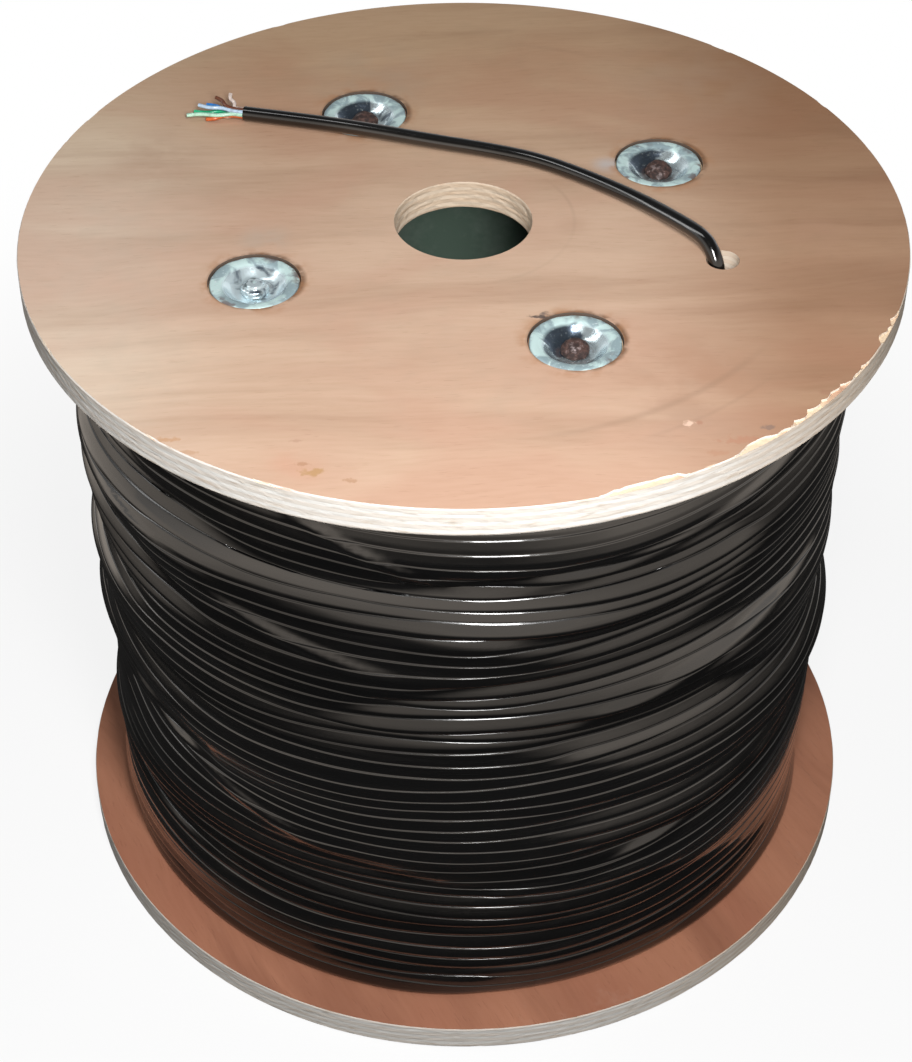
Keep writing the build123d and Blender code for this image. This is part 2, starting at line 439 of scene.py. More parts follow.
def veneer_colour(place, pale, deep, ruddy, grain_angle):
    """Veneer colour from the grain, with its height for bump."""
    inputs = {"Vector": place, "Rotation": (0, 0, grain_angle)}
    turned = node(place.id_data, "ShaderNodeMapping", inputs).outputs[0]
    grain = use_group(GRAIN, {"Vector": turned, "Pore Share": 0.34})
    tone = noise_value(turned, (7.0, 14.0, 14.0), detail=3.0, distortion=0.6)
    colour = blend(between(grain["Figure"], 0.40, 0.72), pale, deep)
    colour = blend(between(tone, 0.40, 0.66), colour, ruddy)
    colour = tint(colour, (0.95, 0.93, 0.91), between(grain["Fibre"], 0.3, 0.8))
    colour = tint(colour, (0.74, 0.68, 0.62), times(grain["Pores"], 0.25))
    return colour, minus(times(grain["Fibre"], 0.6), grain["Pores"])


def outer_veneer():
    """The flanges' outer faces: pale pinkish-brown veneer with marks, stains and scribed arcs."""
    material, shader, place = new_material("veneer_outer_face", Specular_IOR_Level=0.25)
    colour, height = veneer_colour(
        place, (0.655, 0.46, 0.335), (0.485, 0.315, 0.218), (0.59, 0.372, 0.266), radians(-3)
    )
    soil = soiling(place, 12.0, 0.55)
    colour = cover(colour, soil, 0.30, (0.46, 0.35, 0.26))
    # Painted shade makes the sheet darker and browner towards its right and its back, and painted light
    # makes it paler at its left
    parts = axes(place)
    colour = tint(colour, (0.66, 0.57, 0.49), between(parts["X"], 0.055, 0.135))
    colour = tint(colour, (0.84, 0.80, 0.69), between(parts["Y"], -0.02, 0.14))
    colour = tint(colour, (1.14, 1.30, 1.40), between(parts["X"], -0.07, -0.15))
    colour = add_clouds(place, colour)
    # Scorched and oiled wood round each washer, darkest to its right
    patchy = noise_value(place, scale=150.0, detail=3.0)
    stain = times(washer_rings(place, 17.7, 2.3, (0.8, 0.2)), between(patchy, 0.30, 0.58))
    colour = cover(colour, stain, 0.9, (0.10, 0.05, 0.025))
    halo = times(washer_rings(place, 18.0, 7.0), between(patchy, 0.42, 0.70))
    colour = cover(colour, halo, 0.6, (0.44, 0.22, 0.11))
    # The scribed arcs are faint and broken, and only on the right half
    broken = between(noise_value(place, scale=11.0), 0.46, 0.62)
    broken = times(broken, between(parts["X"], 0.0, 0.05))
    for radius, width, strength in ARCS:
        arc = times(ring(place, (0, 0, 0), radius, width), broken)
        colour = cover(colour, arc, strength, (0.22, 0.14, 0.09))
    colour = add_spots(place, colour)
    set_sockets(shader, Base_Color=colour, Roughness=plus(times(soil, 0.1), 0.55))
    raise_surface(shader, height, 0.10 * MM, 0.3)
    return material


def inner_veneer():
    """The flanges' inner faces: a redder veneer, dusty, with a few pale scuffs."""
    material, shader, place = new_material("veneer_inner_face", Specular_IOR_Level=0.25)
    colour, height = veneer_colour(
        place, (0.45, 0.20, 0.12), (0.31, 0.13, 0.078), (0.39, 0.16, 0.097), radians(62)
    )
    scuff = soiling(place, 34.0, 0.42)
    colour = cover(colour, scuff, 0.30, (0.52, 0.33, 0.25))
    set_sockets(shader, Base_Color=colour, Roughness=plus(times(scuff, 0.12), 0.5))
    raise_surface(shader, height, 0.12 * MM, 0.7)
    return material


def ply_edge():
    """Sawn edges of the plywood: plies of long grain and end grain in turn, with thin glue lines."""
    material, shader, place = new_material("plywood_edge", Specular_IOR_Level=0.2)
    parts = axes(place)
    wander = noise_value(place, scale=30.0, detail=3.0)
    height = plus(parts["Z"], times(wander, 0.9 * MM))
    share = calculate("PINGPONG", calculate("DIVIDE", height, PLY), 1.0)
    end_grain = between(share, 0.44, 0.56)
    from_glue = calculate("ABSOLUTE", minus(share, 0.5))
    glue = minus(1.0, between(from_glue, 0.02, 0.10))
    streaks = noise_value(place, (110.0, 110.0, 700.0), detail=3.0)
    colour = blend(end_grain, (0.92, 0.89, 0.84), (0.86, 0.79, 0.71))
    colour = tint(colour, (0.80, 0.74, 0.68), between(streaks, 0.54, 0.74))
    colour = cover(colour, glue, 0.16, (0.40, 0.28, 0.19))
    soil = soiling(place, 45.0, 0.45)
    colour = cover(colour, soil, 0.3, (0.52, 0.38, 0.27))
    # Painted shade: a near-black ring on the recess walls, in the gap round each washer
    colour = cover(colour, washer_rings(place, 17.8, 3.0), 0.95, (0.07, 0.04, 0.025))
    # The walls of the bore and of the start hole are browner. The rim is darker and browner at the right:
    # painted shade where the light falls off
    bore_wall = between(ring(place, (0, 0, 0), BORE_RADIUS / MM, 9.0), 0.0, 0.5)
    hole_wall = times(ring(place, START_HOLE, START_HOLE_RADIUS / MM, 3.0), 0.6)
    colour = tint(colour, (0.78, 0.66, 0.54), larger(bore_wall, hole_wall))
    colour = tint(colour, (0.96, 0.87, 0.78), between(parts["X"], 0.06, 0.15))
    # Where the face veneer is broken off, the ply below it shows yellow
    facing = axes(node(place.id_data, "ShaderNodeNewGeometry").outputs["Normal"])["Z"]
    laid_bare = between(calculate("ABSOLUTE", facing), 0.35, 0.85)
    torn = blend(between(wander, 0.44, 0.58), (0.76, 0.58, 0.39), (0.50, 0.26, 0.15))
    colour = cover(colour, laid_bare, 0.8, torn)
    set_sockets(shader, Base_Color=colour, Roughness=plus(times(soil, 0.1), 0.7))
    raise_surface(shader, plus(streaks, times(end_grain, 0.2)), 0.20 * MM, 0.5)
    return material


def barrel_board():
    """The barrel's wound board: dark grey-green, matt and fibrous."""
    material, shader, place = new_material("barrel_board", Specular_IOR_Level=0.3)
    soil = soiling(place, 30.0, 0.6)
    colour = blend(soil, (0.125, 0.185, 0.142), (0.19, 0.25, 0.205))
    set_sockets(shader, Base_Color=colour, Roughness=plus(times(soil, 0.15), 0.7))
    fibres = noise_value(place, (500.0, 500.0, 160.0), detail=3.0)
    raise_surface(shader, fibres, 0.15 * MM, 0.6)
    return material


def zinc_plate(name, plating, shine, shade):
    """Galvanised sheet: a pale teal rim, dark metal where the dish's plating is thin, and brown scorch.

    More plating leaves less dark metal and rust. Shine makes the dish more metallic, and shade sets how
    much painted shade darkens its upper left side.
    """
    material, shader, place = new_material(name)
    cloudy = noise_value(place, scale=110.0, detail=3.0, distortion=1.2)
    fine = noise_value(place, scale=900.0)
    patchy = noise_value(place, scale=120.0, detail=4.0)
    rim_colour = blend(between(cloudy, 0.42, 0.60), (0.66, 0.85, 0.83), (0.34, 0.45, 0.48))
    # Painted shade: the dish is darker towards its upper left, by where it lies from each washer's centre.
    # The dark metal mixes this painted shade with the thin plating.
    painted_shade_upper_left = times(minus(washer_rings(place, 0.0, 14.0, (-6.0, 7.0)), 0.35), shade)
    thin = between(plus(cloudy, painted_shade_upper_left), plating - 0.10, plating + 0.06)
    dish_colour = blend(thin, (0.72, 0.84, 0.88), (0.10, 0.13, 0.17))
    dish = between(washer_rings(place, 6.5, 8.4), 0.08, 0.36)
    colour = blend(dish, rim_colour, dish_colour)
    colour = blend(between(fine, 0.60, 0.80), colour, (0.80, 0.90, 0.90))
    # Brown scorch on the rim and its edge, and rust round the nut
    scorch = times(washer_rings(place, 17.0, 4.2), between(patchy, 0.55, 0.64))
    scorch = larger(scorch, times(washer_rings(place, 17.6, 0.7), 0.7))
    colour = cover(colour, scorch, 0.85, (0.12, 0.07, 0.06))
    rusted = between(patchy, plating - 0.04, plating + 0.08)
    rusted = times(washer_rings(place, 5.8, 2.6), rusted)
    colour = cover(colour, rusted, 0.8, (0.10, 0.055, 0.045))
    bare = larger(scorch, rusted)
    # Dark patches where the plating is worn about the nut
    worn = between(noise_value(place, scale=230.0), 0.52, 0.60)
    worn = times(washer_rings(place, 2.5, 6.0), worn)
    colour = cover(colour, worn, 0.85, (0.06, 0.08, 0.085))
    metal = minus(plus(0.25, times(dish, shine)), times(bare, 0.25))
    rough = plus(minus(0.42, times(dish, 0.20)), times(bare, 0.30))
    set_sockets(shader, Base_Color=colour, Metallic=metal, Roughness=rough)
    raise_surface(shader, plus(cloudy, times(fine, 0.10)), 0.35 * MM, 0.6)
    return material


def rusty_steel():
    """Plain steel gone brown with rust, with worn metal on the crests."""
    material, shader, place = new_material("rusty_steel", Specular_IOR_Level=0.4)
    crust = noise_value(place, scale=520.0, detail=5.0, roughness=0.65)
    large = noise_value(place, scale=150.0)
    colour = blend(between(crust, 0.4, 0.62), (0.034, 0.020, 0.018), (0.105, 0.056, 0.045))
    bare = between(times(crust, large), 0.30, 0.36)
    colour = cover(colour, bare, 0.5, (0.30, 0.26, 0.26))
    rough = minus(0.75, times(bare, 0.35))
    set_sockets(shader, Base_Color=colour, Metallic=times(bare, 0.5), Roughness=rough)
    raise_surface(shader, crust, 0.45 * MM, 0.9)
    return material


def jacket(name, run_scale, crease_scale, band_scale, polish, relief, gloss):
    """Black jacket: a sharp gloss over a softer sheen, thin dust, fine scuffs and soft creases."""
    material, shader, place = new_material(name, Specular_IOR_Level=0.5, Coat_Roughness=0.07, Coat_IOR=1.7)
    scuffs = noise_value(place, run_scale, detail=4.0, roughness=0.6)
    dust = soiling(place, 14.0, 0.46)
    colour = blend(times(dust, 0.8), (0.0016, 0.0016, 0.0018), (0.006, 0.005, 0.004))
    rough = plus(polish, times(between(scuffs, 0.42, 0.75), 0.12))
    rough = plus(rough, times(dust, 0.08))
    # The gloss is stronger in some bands than in others
    bands = noise_value(place, band_scale, detail=1.0)
    coat = times(plus(between(bands, 0.40, 0.60), 0.6), gloss)
    set_sockets(shader, Base_Color=colour, Roughness=rough, Coat_Weight=coat)
    creases = noise_value(place, crease_scale, distortion=1.5)
    height = plus(times(creases, 0.95), times(scuffs, 0.05))
    raise_surface(shader, height, relief, 0.4)
    return material


def insulation(name, colour, stripe):
    """Thin glossy insulation; the pale wire of a pair has a stripe of its partner's colour."""
    material, shader, place = new_material(name, Roughness=0.28, Coat_Weight=0.2)
    smudge = noise_value(place, scale=600.0)
    darker = tuple(0.72 * part for part in colour)
    shade = blend(between(smudge, 0.4, 0.75), colour, darker)
    if stripe:
        around = axes(node(place.id_data, "ShaderNodeTexCoord").outputs["UV"])["Y"]
        across = calculate("ABSOLUTE", minus(around, 0.5))
        shade = cover(shade, minus(1.0, between(across, 0.10, 0.14)), 0.8, stripe)
    set_sockets(shader, Base_Color=shade)
    return material

# Pieces


def new_object(name, data):
    """An object in the scene."""
    made = bpy.data.objects.new(name, data)
    bpy.context.scene.collection.objects.link(made)
    return made


def add_piece(data, name, materials, slot, *nodes):
    """A finished piece at the origin, which rides on the drum and stands for its CAD nodes."""
    piece = new_object(name, data)
    for material in materials:
        data.materials.append(material)
    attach(piece, "root")
    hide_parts(*nodes)
    return piece


def spun(section, steps, closed=True):
    """A section of (radius, height) turned about the Z axis. An open one is filled at its ends."""
    bm = bmesh.new()
    chain = [bm.verts.new((radius, 0, height)) for radius, height in section]
    ends = chain[1:] + chain[:1] if closed else chain[1:]
    edges = [bm.edges.new(pair) for pair in zip(chain, ends)]
    bmesh.ops.spin(
        bm, geom=chain + edges, cent=(0, 0, 0), axis=(0, 0, 1), angle=2 * pi, steps=steps, use_merge=True
    )
    bmesh.ops.remove_doubles(bm, verts=bm.verts, dist=1e-6)
    if not closed:
        bmesh.ops.holes_fill(bm, edges=[edge for edge in bm.edges if edge.is_boundary], sides=steps + 1)
    bmesh.ops.recalc_face_normals(bm, faces=bm.faces)
    return bm


def moved(bm, offset):
    """The bmesh moved by the offset."""
    bmesh.ops.translate(bm, verts=bm.verts, vec=offset)
    return bm


def widen(vert, scale):
    """Scales the vertex's distance from the Z axis."""
    vert.co.x *= scale
    vert.co.y *= scale


def to_mesh(bm, name, smooth=True):
    """The bmesh as a mesh, with its faces smooth or flat."""
    mesh = bpy.data.meshes.new(name)
    for face in bm.faces:
        face.smooth = smooth
    bm.to_mesh(mesh)
    bm.free()
    return mesh


def step_between(value, low, high):
    """0 below low and 1 above high, with a smooth step from one to the other."""
    share = min(max((value - low) / (high - low), 0.0), 1.0)
    return share * share * (3 - 2 * share)
def ripple(angle, scale, level):
    """Noise round the drum, with more waves for a larger scale, at that level of the pattern."""
    return noise.noise(Vector((scale * cos(angle), scale * sin(angle), level)))

# Plywood flanges

FLANGE_STEPS = 540
CHIP_REACH = 3.0 * MM
# The outer face's last band before the rim, in rings that close up on the veneer's broken edge
EDGE_BAND = 5.6 * MM
EDGE_RING = 0.5 * MM
WHOLE_EDGE = 0.8 * MM
WORN_EDGE = 0.4 * MM

FACE_REACH = 0.15 * MM
RECESS_STEPS = 72
HOLE_STEPS = 64
# Angles in degrees where most of the veneer is broken off: from, full from, full to and to
BREAKS = (-82, -70, -28, -12)


def flange_section():
    """Radius and height above the inner face, round the flange's section from the bore outwards."""
    thick = FLANGE_THICKNESS
    groove_outer = BARREL_RADIUS + BARREL_PLAY
    groove_inner = BARREL_RADIUS - BARREL_WALL - BARREL_PLAY
    wall_rows = [0.6 * MM + row * (thick - 1.2 * MM) / 11 for row in range(12)]
    section = [(BORE_RADIUS + WORN_EDGE, 0)]
    section += [(BORE_RADIUS, height) for height in wall_rows]
    section += [(BORE_RADIUS + WORN_EDGE, thick), (40 * MM, thick), (110 * MM, thick), (165 * MM, thick)]
    section += [(RIM_RADIUS - EDGE_BAND + EDGE_RING * step, thick) for step in range(11)]
    section += [(RIM_RADIUS, height) for height in reversed(wall_rows)]
    section += [(RIM_RADIUS - WORN_EDGE, 0), (150 * MM, 0), (groove_outer, 0), (groove_outer, BARREL_SEAT)]
    section += [(groove_inner, BARREL_SEAT), (groove_inner, 0), (60 * MM, 0)]
    return section


def chip_width(angle, seed):
    """How far in from the rim the face veneer is broken away at an angle in degrees."""
    front_right = step_between(angle, *BREAKS[:2]) * (1 - step_between(angle, *BREAKS[2:]))
    turn = radians(angle)
    amount = ripple(turn, 7, seed) + 0.45 * ripple(turn, 19, seed + 5) + 0.50 * ripple(turn, 48, seed + 9)
    amount += 0.45 * front_right - 0.12
    return CHIP_REACH * (0.22 + 0.78 * front_right) * min(max(amount * 1.8, 0.0), 1.0)


def wear_flange(bm, seed):
    """Breaks veneer off the rim's outer edge and roughens the sawn walls."""
    for vert in bm.verts:
        x, y, height = vert.co
        radius = hypot(x, y)
        place = Vector((x * 120, y * 120, height * 500 + seed))
        inset = RIM_RADIUS - radius
        if 0.1 * MM < inset < 6 * MM and height > FLANGE_THICKNESS - 0.1 * MM:
            # The inner rings close up on the veneer's edge, and the outer ones drop to the next ply
            chip = chip_width(atan2(y, x) * 180 / pi, seed)
            step = round((EDGE_BAND - inset) / EDGE_RING)
            edge = max(chip, WHOLE_EDGE)
            if step <= 5:
                placed = EDGE_BAND - (EDGE_BAND - edge) * step / 5
            else:
                share = (step - 6) / 4
                placed = (edge - 0.2 * MM) * (1 - share) + 0.45 * MM * share
                broken = step_between(chip, 0.35 * MM, WHOLE_EDGE)
                vert.co.z -= VENEER * broken * (0.72 + 0.25 * noise.noise(place * 3))
            widen(vert, (RIM_RADIUS - placed) / radius)
        large, small = abs(noise.noise(place)), abs(noise.noise(place * 3))
        if radius > RIM_RADIUS - 0.1 * MM:
            widen(vert, 1 - (0.06 + 0.22 * large + 0.10 * small) * MM / radius)
        if radius < BORE_RADIUS + 0.1 * MM:
            widen(vert, 1 + (0.55 * large + 0.2 * small) * MM / radius)


def joined(bms):
    """Several bmeshes as one."""
    whole = bms[0]
    for other in bms[1:]:
        scratch = bpy.data.meshes.new("scratch")
        other.to_mesh(scratch)
        other.free()
        whole.from_mesh(scratch)
        bpy.data.meshes.remove(scratch)
    return whole


def recess_cutter(centre):
    """The recess for a dished washer and the bolt's hole below it, in the flange's outer face."""
    thick = FLANGE_THICKNESS
    section = [(BOLT_HOLE_RADIUS, -2 * MM), (BOLT_HOLE_RADIUS, thick - 6.8 * MM)]
    section += [(9.2 * MM, thick - 6.8 * MM)]
    section += [(17.7 * MM, thick - 2.0 * MM), (17.9 * MM, thick - 0.3 * MM), (18.3 * MM, thick + 2 * MM)]
    return moved(spun(section, RECESS_STEPS, closed=False), centre)


def cut(body, cutter, name):
    """The body with the cutter taken away, as a mesh. Both are bmeshes."""
    body_object = new_object("body", to_mesh(body, name))
    cutter_object = new_object("cutter", to_mesh(cutter, "cutter"))
    modifier = body_object.modifiers.new("recesses", "BOOLEAN")
    modifier.operation = "DIFFERENCE"
    modifier.solver = "MANIFOLD"
    modifier.object = cutter_object
    depsgraph = bpy.context.evaluated_depsgraph_get()
    result = bpy.data.meshes.new_from_object(body_object.evaluated_get(depsgraph))
    result.name = name
    result.materials.clear()
    bpy.data.objects.remove(body_object)
    bpy.data.objects.remove(cutter_object)
    return result


def dress_flange(mesh, inner_height, outer_height):
    """Slot 0 on the outer face, 1 on the inner face and 2 on every sawn or broken place."""
    for polygon in mesh.polygons:
        flat = abs(polygon.normal.z) > 0.97
        if flat and abs(polygon.center.z - outer_height) < FACE_REACH:
            polygon.material_index = 0
        elif flat and abs(polygon.center.z - inner_height) < FACE_REACH:
            polygon.material_index = 1
        else:
            polygon.material_index = 2
        polygon.use_smooth = False
def make_flange(name, top, seed):
    """One plywood flange with its recesses, drawn on its inner face, then set at the top or turned over."""
    body = spun(flange_section(), FLANGE_STEPS)
    wear_flange(body, seed)
    cutters = [recess_cutter(centre) for centre in washer_centres()]
    if top:
        hole_section = [(START_HOLE_RADIUS, -2 * MM), (START_HOLE_RADIUS, FLANGE_THICKNESS + 2 * MM)]
        cutters.append(moved(spun(hole_section, HOLE_STEPS, closed=False), START_HOLE))
    mesh = cut(body, joined(cutters), name)
    if top:
        mesh.transform(Matrix.Translation((0, 0, FLANGE_INNER)))
        dress_flange(mesh, FLANGE_INNER, FLANGE_OUTER)
    else:
        mesh.transform(Matrix.Translation((0, 0, FLANGE_THICKNESS)) @ Matrix.Scale(-1, 4, (0, 0, 1)))
        mesh.flip_normals()
        dress_flange(mesh, FLANGE_THICKNESS, 0.0)
    return mesh

# Wound cable

TURNS = 45
# Rows across one turn: shares of its round lower side, then of the straight slope above it
ROUND_PARTS = (0.0, 0.3, 0.6, 0.82, 1.0)
SLOPE_PARTS = (0.4, 0.8, 1.0)
DRAPE = radians(19)
WINDING_STEPS = 256
BORE_PLAY = 0.2 * MM
FILM_REACH = 1
HALVINGS = 12

# Runs that cross the others on a slant: the angle in degrees to the right of the front and the height
# in millimetres where each starts and ends, then its half width and how far it stands out
STRAPS = [
    (-26, 277, 0, 246, 4.6, 1.2),
    (-42, 221, -9, 201, 5.0, 1.3),
    (6, 245, 64, 269, 4.8, 1.1),
    (-77, 239, -36, 225, 5.0, 1.2),
    (16, 171, 68, 197, 5.0, 1.2),
    (-64, 121, -18, 97, 5.0, 1.2),
    (3, 77, 57, 101, 4.8, 1.1),
    (94, 241, 152, 213, 5.0, 1.3),
    (118, 99, 172, 131, 5.0, 1.2),
    (188, 199, 242, 227, 5.0, 1.3),
    (213, 91, 264, 69, 5.0, 1.2),
]


def turn_centres(angle):
    """Height and radius of every turn's centre line at one angle, from the foot up."""
    pitch = (WINDING_TOP - WINDING_FOOT) / TURNS
    outermost = WINDING_RADIUS - CABLE_RADIUS
    heights, radii = [], []
    for turn in range(TURNS):
        level = (turn + 0.5) / TURNS
        free = min(turn / 2, (TURNS - 1 - turn) / 2, 1.0)
        drift = ripple(angle, 0.9, 0.16 * turn)
        stray = ripple(angle, 1.7, 0.8 * turn + 9)
        bunch = sin(2 * pi * turn / 3.3 + 5 * ripple(angle, 0.7, 0.09 * turn + 30))
        wander = 3.2 * drift + 2.0 * stray + 0.75 * bunch
        heights.append(WINDING_FOOT + (turn + 0.5) * pitch + free * wander * MM)
        swell = 0.5 + 0.5 * ripple(angle, 0.8, 8.0 * level)
        group = ripple(angle, 1.0, 0.31 * turn + 20)
        climb = max(0.0, ripple(angle, 1.7, 3.3 * turn + 50) - 0.1)
        lip = step_between(level, 0.92, 0.96) * (0.5 + 0.5 * cos(angle)) ** 2
        rise = -1.6 * swell + 6.0 * group + 2.8 * climb - 0.9 * cos(angle) + 3.6 * lip - 0.6
        radii.append(outermost + min(rise, 3) * MM)
    shares = [film_share(angle, (turn + 0.5) / TURNS) for turn in range(TURNS)]
    rows = zip(heights, radii, shares, drawn_tight(radii))
    return [(height, radius + share * (tight - radius)) for height, radius, share, tight in rows]


def drawn_tight(radii):
    """The radii of a film that rests on the turns that stand out and rounds off what lies between them."""
    resting = [max(radii[max(0, turn - FILM_REACH):turn + FILM_REACH + 1]) for turn in range(len(radii))]
    spans = [resting[max(0, turn - 1):turn + 2] for turn in range(len(radii))]
    return [sum(span) / len(span) for span in spans]


def film_share(angle, level):
    """How far the film bridges the turns' valleys there, from 0 to 1."""
    patch = ripple(angle, 1.4, 7.5 * level + 3)
    top = 0.30 * step_between(level, 0.84, 0.95)
    return 0.10 + 0.90 * step_between(patch + top, -0.12, 0.20)


def strap_rise(angle, height):
    """How far the surface stands out over the runs that cross the others on a slant."""
    rise = 0.0
    for start_angle, start_height, end_angle, end_height, half_width, depth in STRAPS:
        share = ((angle - start_angle + 180) % 360 - 180) / (end_angle - start_angle)
        if 0 < share < 1:
            line = start_height + share * (end_height - start_height)
            away = (height / MM - line) / half_width
            if abs(away) < 1:
                rise += depth * (1 - away * away) ** 2 * sin(pi * share) ** 0.5
    return rise * MM


def on_turn(centre, tilt):
    """Height and radius on a turn's outside, at that angle above its middle."""
    return centre[0] + CABLE_RADIUS * sin(tilt), centre[1] + CABLE_RADIUS * cos(tilt)


def draped(centre, height):
    """Radius at a height of the straight slope that leaves a turn's outside upwards."""
    start_height, start_radius = on_turn(centre, DRAPE)
    return start_radius - tan(DRAPE) * (height - start_height)


def valley_angle(first, second):
    """The angle below the second turn's middle where the first turn's slope meets it."""
    low, high = 0.0, pi / 2
    for _ in range(HALVINGS):
        middle = (low + high) / 2
        height, radius = on_turn(second, -middle)
        if radius > draped(first, height):
            low = middle
        else:
            high = middle
    return middle


def film_lift(point, centre, other, share):
    """How far the point is drawn out, in height and radius, towards the line laid over both turns."""
    rise, out = abs(other[0] - centre[0]), other[1] - centre[1]
    side = 1 if other[0] > centre[0] else -1
    distance = hypot(rise, out)
    lift_height, lift_radius = -side * out / distance, rise / distance
    reach = (point[0] - centre[0]) * lift_height + (point[1] - centre[1]) * lift_radius
    along = side * (point[0] - centre[0]) * rise + (point[1] - centre[1]) * out
    if along <= 0:
        return 0.0, 0.0
    gap = share * max(0.0, CABLE_RADIUS - reach)
    return gap * lift_height, gap * lift_radius


def turn_points(centres, turn, angle):
    """Height and radius of the rows across one turn's outside, from its lower valley to its upper one."""
    centre = centres[turn]
    low_angle = -valley_angle(centres[turn - 1], centre) if turn else -pi / 2
    if turn < TURNS - 1:
        top = on_turn(centres[turn + 1], -valley_angle(centre, centres[turn + 1]))
    else:
        top = (WINDING_TOP, draped(centre, WINDING_TOP))
    crest = on_turn(centre, DRAPE)
    points = []
    for part in ROUND_PARTS + SLOPE_PARTS:
        if len(points) < len(ROUND_PARTS):
            point = on_turn(centre, low_angle + part * (DRAPE - low_angle))
        else:
            point = (crest[0] + part * (top[0] - crest[0]), crest[1] + part * (top[1] - crest[1]))
        share = film_share(angle, (point[0] - WINDING_FOOT) / (WINDING_TOP - WINDING_FOOT))
        neighbours = centres[max(0, turn - 1):turn] + centres[turn + 1:turn + 2]
        lifts = [film_lift(point, centre, other, share) for other in neighbours]
        height = point[0] + sum(lift[0] for lift in lifts)
        radius = point[1] + max(lift[1] for lift in lifts)
        points.append((min(max(height, WINDING_FOOT), WINDING_TOP), radius))
    return points


def make_winding():
    """The wound cable as one closed skin: rows spun round the axis, then laid over the turns."""
    row_count = TURNS * len(ROUND_PARTS + SLOPE_PARTS)
    bore = BARREL_RADIUS + BORE_PLAY
    section = [(bore, 0)] + [(WINDING_RADIUS, row * MM) for row in range(row_count)]
    section.append((bore, (row_count - 1) * MM))
    bm = spun(section, WINDING_STEPS)
    laid = []
    for step in range(WINDING_STEPS):
        angle = 2 * pi * step / WINDING_STEPS
        centres = turn_centres(angle)
        laid.append([point for turn in range(TURNS) for point in turn_points(centres, turn, angle)])
    for vert in bm.verts:
        x, y, height = vert.co
        step = round(atan2(y, x) / (2 * pi) * WINDING_STEPS) % WINDING_STEPS
        row = round(height / MM)
        if hypot(x, y) < (bore + WINDING_RADIUS) / 2:
            vert.co.z = WINDING_TOP if row else WINDING_FOOT
            continue
        height, radius = laid[step][row]
        angle = 2 * pi * step / WINDING_STEPS
        radius += strap_rise(angle * 180 / pi + 90, height)
        vert.co = (radius * cos(angle), radius * sin(angle), height)
    return to_mesh(bm, "cable_turns")


# Dished washers

WASHER_STEPS = 96
# Radius and depth below the rim's top, in millimetres: over the top side, then back underneath
WASHER_SECTION = [
    (3.5, 5.3), (3.8, 5.0), (5.4, 5.0), (7.2, 5.0), (8.2, 4.75), (9.4, 3.9), (10.8, 2.6), (12.0, 1.4),
    (13.0, 0.65), (14.0, 0.25), (15.2, 0.05), (16.2, 0.0), (17.0, 0.12), (17.4, 0.4), (17.5, 0.8),
    (17.4, 1.2), (17.0, 1.5), (15.6, 1.6), (14.6, 2.1), (13.4, 3.1), (12.0, 4.4),
    (10.6, 5.6), (9.4, 6.35), (8.6, 6.5), (3.8, 6.5), (3.5, 6.2),
]


def make_washer(node_name, upright):
    """One dished washer, hammered a little out of round, with its rim just under the flange's face."""
    low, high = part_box(node_name)
    centre = centre_of((low, high))
    bm = spun([(radius * MM, -depth * MM) for radius, depth in WASHER_SECTION], WASHER_STEPS)
    for vert in bm.verts:
        rim = step_between(hypot(vert.co.x, vert.co.y), 9 * MM, 17 * MM)
        place = vert.co * 90 + centre * 60
        wave = noise.noise(place)
        dent = noise.noise(place * 2.3 + Vector((7, 1, 4)))
        vert.co.z += (rim * (0.30 * wave - 0.16) + 0.25 * dent * (1 - rim)) * MM
        widen(vert, 1 - rim * (0.018 * abs(dent) + 0.006))
    if not upright:
        bmesh.ops.scale(bm, verts=bm.verts, vec=(1, 1, -1))
    centre.z = high[2] if upright else low[2]
    moved(bm, centre)
    bmesh.ops.recalc_face_normals(bm, faces=bm.faces)
    return to_mesh(bm, f"{node_name}_dish")


# Nuts, rounded by rust and plating over the bolts' ends

NUT_STEPS = 60
# Radius and height of the nut and the bolt's end in it, in millimetres
NUT_SECTION = [
    (5.0, 0.0), (5.45, 0.4), (5.5, 1.2), (5.45, 2.1), (5.15, 2.8), (4.7, 3.2), (4.1, 3.35), (3.7, 3.5),
    (3.45, 4.1), (3.25, 4.55), (2.8, 4.78), (1.9, 4.88), (1.0, 4.92), (0.4, 4.94),
]


def make_nut(number):
    """One thin nut with the bolt's end in it, as a crusted lump that still shows six sides."""
    low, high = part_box(f"bolt_nut_{number}")
    bm = spun([(radius * MM, height * MM) for radius, height in NUT_SECTION], NUT_STEPS, closed=False)
    for vert in bm.verts:
        turn = (atan2(vert.co.y, vert.co.x) + number) % (pi / 3) - pi / 6
        six_sided = 0.5 * step_between(hypot(vert.co.x, vert.co.y), 3.4 * MM, 4.4 * MM)
        scale = 1 + six_sided * (cos(pi / 6) / cos(turn) * 1.05 - 1)
        place = vert.co * 420 + Vector((number * 7, 0, 0))
        crust = noise.noise(place) + 0.6 * noise.noise(place * 2.4)
        if vert.co.z > 0.2 * MM:
            scale += 0.035 * crust
            vert.co.z += 0.10 * crust * MM
        widen(vert, scale)
    return to_mesh(moved(bm, centre_of((low, high), low[2])), f"nut_{number}")

# Cable start and its wires


def smooth_curve(name, points, radius, sides):
    """A tube along one smooth line with those control points, in metres."""
    curve = bpy.data.curves.new(name, "CURVE")
    curve.dimensions = "3D"
    curve.bevel_depth = radius
    curve.bevel_resolution = sides
    curve.use_fill_caps = True
    spline = curve.splines.new("NURBS")
    spline.points.add(len(points) - 1)
    for control, point in zip(spline.points, points):
        control.co = (*point, 1.0)
    spline.order_u = 3
    spline.use_endpoint_u = True
    spline.resolution_u = 8
    return curve


def tail_points():
    """The tail's control points in metres."""
    return [Vector((x * MM, y * MM, FLANGE_OUTER + rise * MM)) for x, y, rise in TAIL_ROUTE]


